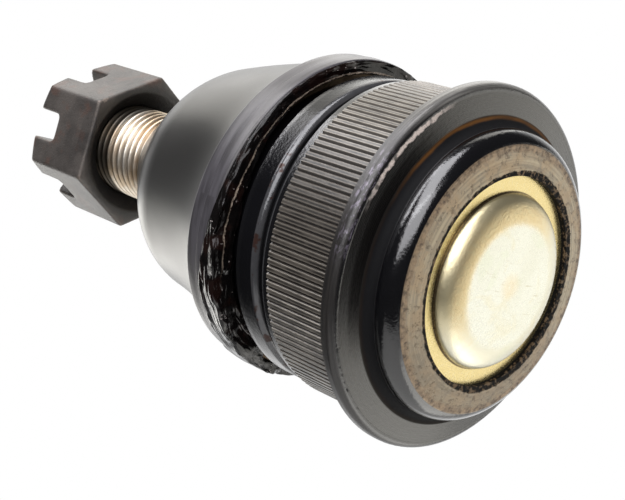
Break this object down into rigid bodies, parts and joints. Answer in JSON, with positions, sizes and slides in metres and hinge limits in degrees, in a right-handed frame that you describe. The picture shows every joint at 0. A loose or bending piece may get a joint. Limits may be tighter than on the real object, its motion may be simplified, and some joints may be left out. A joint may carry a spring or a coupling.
{
  "type": "suspension ball joint",
  "caption": "Press-in suspension ball joint: knurled flanged housing with crimped cover, tapered ball stud, rubber boot and slotted nut.",
  "frame": {"origin": "centre of the flange's seat, the face that stops against the control arm", "axes": "+Z along the stud towards the nut, +X through one pair of the nut's slots"},
  "size_m": [0.053, 0.053, 0.0998],
  "materials": {
    "black_housing": "black oxide, semi-gloss",
    "sintered_metal": "sintered iron, oiled",
    "spring_steel": "spring steel",
    "zinc_yellow": "pale yellow zinc plating, satin",
    "stud_steel": "turned and rolled bare steel",
    "phosphate_nut": "dark phosphate, matt",
    "boot_rubber": "moulded rubber, satin",
    "ring_steel": "rolled steel, lightly browned",
    "sealing_compound": "tacky, glossy black"
  },
  "bodies": {
    "press_housing": {"housing": "black_housing", "upper_bearing": "sintered_metal", "preload_spring": "spring_steel", "cover_plate": "zinc_yellow", "boot_clamp_ring": "ring_steel"},
    "lean_carrier": {"lower_bearing": "sintered_metal", "dust_boot": "boot_rubber", "sealing_bead": "sealing_compound"},
    "lean_seal": {"boot_stud_ring": "ring_steel"},
    "stud": {"ball_stud": "stud_steel"},
    "nut": {"castle_nut": "phosphate_nut"}
  },
  "joints": [
    {"name": "lean_direction", "type": "hinge", "parent": "press_housing", "child": "lean_carrier", "pos_m": [0, 0, 0.0135], "axis": [0, 0, 1], "continuous": true},
    {"name": "stud_lean", "type": "hinge", "parent": "lean_carrier", "child": "lean_seal", "pos_m": [0, 0, 0.0135], "axis": [1, 0, 0], "range_deg": [-20, 20], "deforming": ["dust_boot"]},
    {"name": "stud_spin", "type": "hinge", "parent": "lean_seal", "child": "stud", "pos_m": [0, 0, 0.0135], "axis": [0, 0, 1], "continuous": true},
    {"name": "nut_turn", "type": "hinge", "parent": "stud", "child": "nut", "pos_m": [0, 0, 0.082], "axis": [0, 0, 1], "continuous": true}
  ]
}
